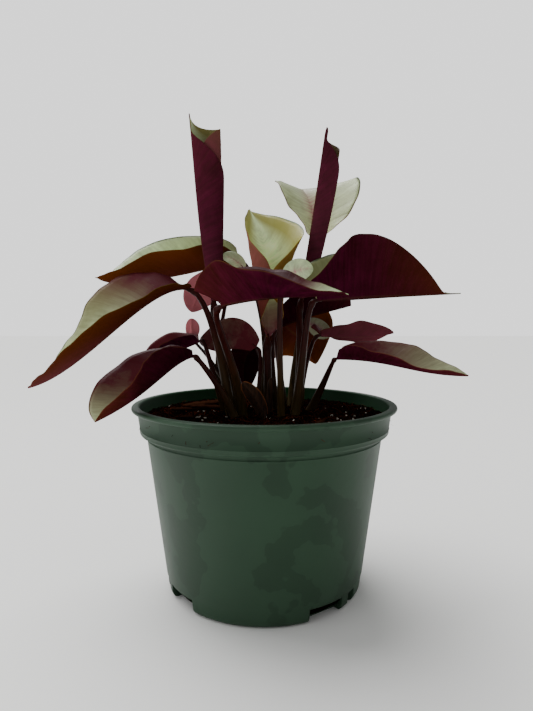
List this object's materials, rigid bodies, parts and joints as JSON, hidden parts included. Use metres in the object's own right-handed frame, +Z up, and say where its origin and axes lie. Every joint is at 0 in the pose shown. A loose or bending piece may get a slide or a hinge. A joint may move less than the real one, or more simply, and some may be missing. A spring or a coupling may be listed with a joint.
{
  "type": "potted plant",
  "caption": "Potted silver plate calathea: broad silver-green leaves with burgundy undersides on slender stalks in a round tapered nursery pot.",
  "frame": {"origin": "centre of the pot's underside, on the surface it stands on", "axes": "+Z up along the pot's axis, -Y towards the viewer of the reference picture, +X to the viewer's right"},
  "size_m": [0.2459, 0.17, 0.2754],
  "materials": {
    "leaf": "waxy leaf, silver-green above and burgundy below",
    "stalk": "satin fleshy leaf stalk",
    "dry_husk": "dried brown leaf sheath and cut stem",
    "pot_plastic": "moulded dark green plastic, satin",
    "potting_soil": "loose dark peat soil with bark fibre and perlite"
  },
  "bodies": {
    "root": {"rolled_leaf_left": "leaf", "rolled_leaf_left_stalk": "stalk", "rolled_leaf_right": "leaf", "rolled_leaf_right_stalk": "stalk", "long_leaf_left": "leaf", "long_leaf_left_stalk": "stalk", "back_leaf_left": "leaf", "back_leaf_left_stalk": "stalk", "low_leaf_front": "leaf", "low_leaf_front_stalk": "stalk", "low_leaf_left": "leaf", "low_leaf_left_stalk": "stalk", "bud_leaf_left": "leaf", "bud_leaf_left_stalk": "stalk", "channel_leaf_front": "leaf", "channel_leaf_front_stalk": "stalk", "wide_leaf_right": "leaf", "wide_leaf_right_stalk": "stalk", "low_leaf_right": "leaf", "low_leaf_right_stalk": "stalk", "middle_leaf_right": "leaf", "middle_leaf_right_stalk": "stalk", "funnel_leaf": "leaf", "funnel_leaf_stalk": "stalk", "tall_leaf_back": "leaf", "tall_leaf_back_stalk": "stalk", "young_leaf_middle": "leaf", "young_leaf_middle_stalk": "stalk", "small_silver_leaf": "leaf", "small_silver_leaf_stalk": "stalk", "dark_leaf_middle": "leaf", "dark_leaf_middle_stalk": "stalk", "hanging_leaf_back": "leaf", "hanging_leaf_back_stalk": "stalk", "shaded_leaf_left": "leaf", "shaded_leaf_left_stalk": "stalk", "pink_leaf_back": "leaf", "pink_leaf_back_stalk": "stalk", "dark_leaf_back": "leaf", "dark_leaf_back_stalk": "stalk", "small_leaf_right": "leaf", "small_leaf_right_stalk": "stalk", "dried_sheath": "dry_husk", "cut_stub": "dry_husk", "pot": "pot_plastic", "soil": "potting_soil"}
  },
  "joints": []
}
